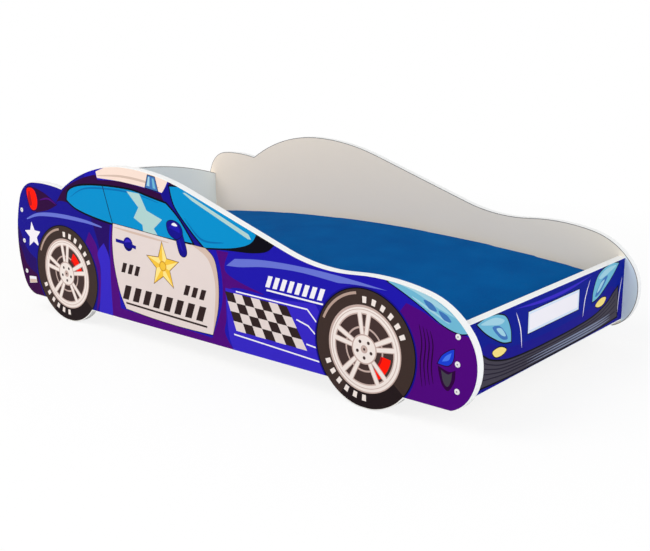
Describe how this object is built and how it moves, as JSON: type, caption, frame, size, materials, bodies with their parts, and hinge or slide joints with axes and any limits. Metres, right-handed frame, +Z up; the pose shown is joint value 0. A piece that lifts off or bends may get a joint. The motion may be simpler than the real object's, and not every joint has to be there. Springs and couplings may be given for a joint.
{
  "type": "children's car bed",
  "caption": "Low children's bed whose two side panels are cut in the outline of a car, with head and foot boards, a slatted base and a mattress.",
  "frame": {"origin": "on the floor, in the middle of the bed's length and width", "axes": "+X towards the foot end, the front of the car; +Y towards the car's left side; +Z up"},
  "size_m": [1.517, 0.7476, 0.4455],
  "materials": {
    "printed_board": "satin white laminate, printed outer face under a clear film",
    "white_board": "satin white laminate",
    "edge_strip": "satin",
    "screw_steel": "zinc plated",
    "cap_plastic": "satin",
    "rail_wood": "planed softwood",
    "slat_wood": "planed birch",
    "webbing": "woven tape",
    "mattress_fabric": "woven cover",
    "mattress_foam": "open-cell foam"
  },
  "bodies": {
    "frame": {"side_panel_right": "printed_board", "edge_strip_body_right": "edge_strip", "edge_strips_wheels_right": "edge_strip", "edge_strip_sill_right": "edge_strip", "panel_screws_right": "screw_steel", "screw_caps_right": "cap_plastic", "support_rail_right": "rail_wood", "webbing_strap_right": "webbing", "side_panel_left": "printed_board", "edge_strip_body_left": "edge_strip", "edge_strips_wheels_left": "edge_strip", "edge_strip_sill_left": "edge_strip", "panel_screws_left": "screw_steel", "screw_caps_left": "cap_plastic", "support_rail_left": "rail_wood", "webbing_strap_left": "webbing", "footboard": "printed_board", "headboard": "white_board", "edge_strip_footboard_top": "edge_strip", "edge_strip_footboard_bottom": "edge_strip", "edge_strip_headboard_top": "edge_strip", "edge_strip_headboard_bottom": "edge_strip", "slat_01": "slat_wood", "slat_02": "slat_wood", "slat_03": "slat_wood", "slat_04": "slat_wood", "slat_05": "slat_wood", "slat_06": "slat_wood", "slat_07": "slat_wood", "slat_08": "slat_wood", "slat_09": "slat_wood", "slat_10": "slat_wood", "slat_11": "slat_wood"},
    "mattress": {"mattress_cover": "mattress_fabric", "mattress_core": "mattress_foam"}
  },
  "joints": [
    {"name": "mattress_lift", "type": "slide", "parent": "frame", "child": "mattress", "axis": [0, 0, 1], "range_m": [0, 0.35]}
  ]
}
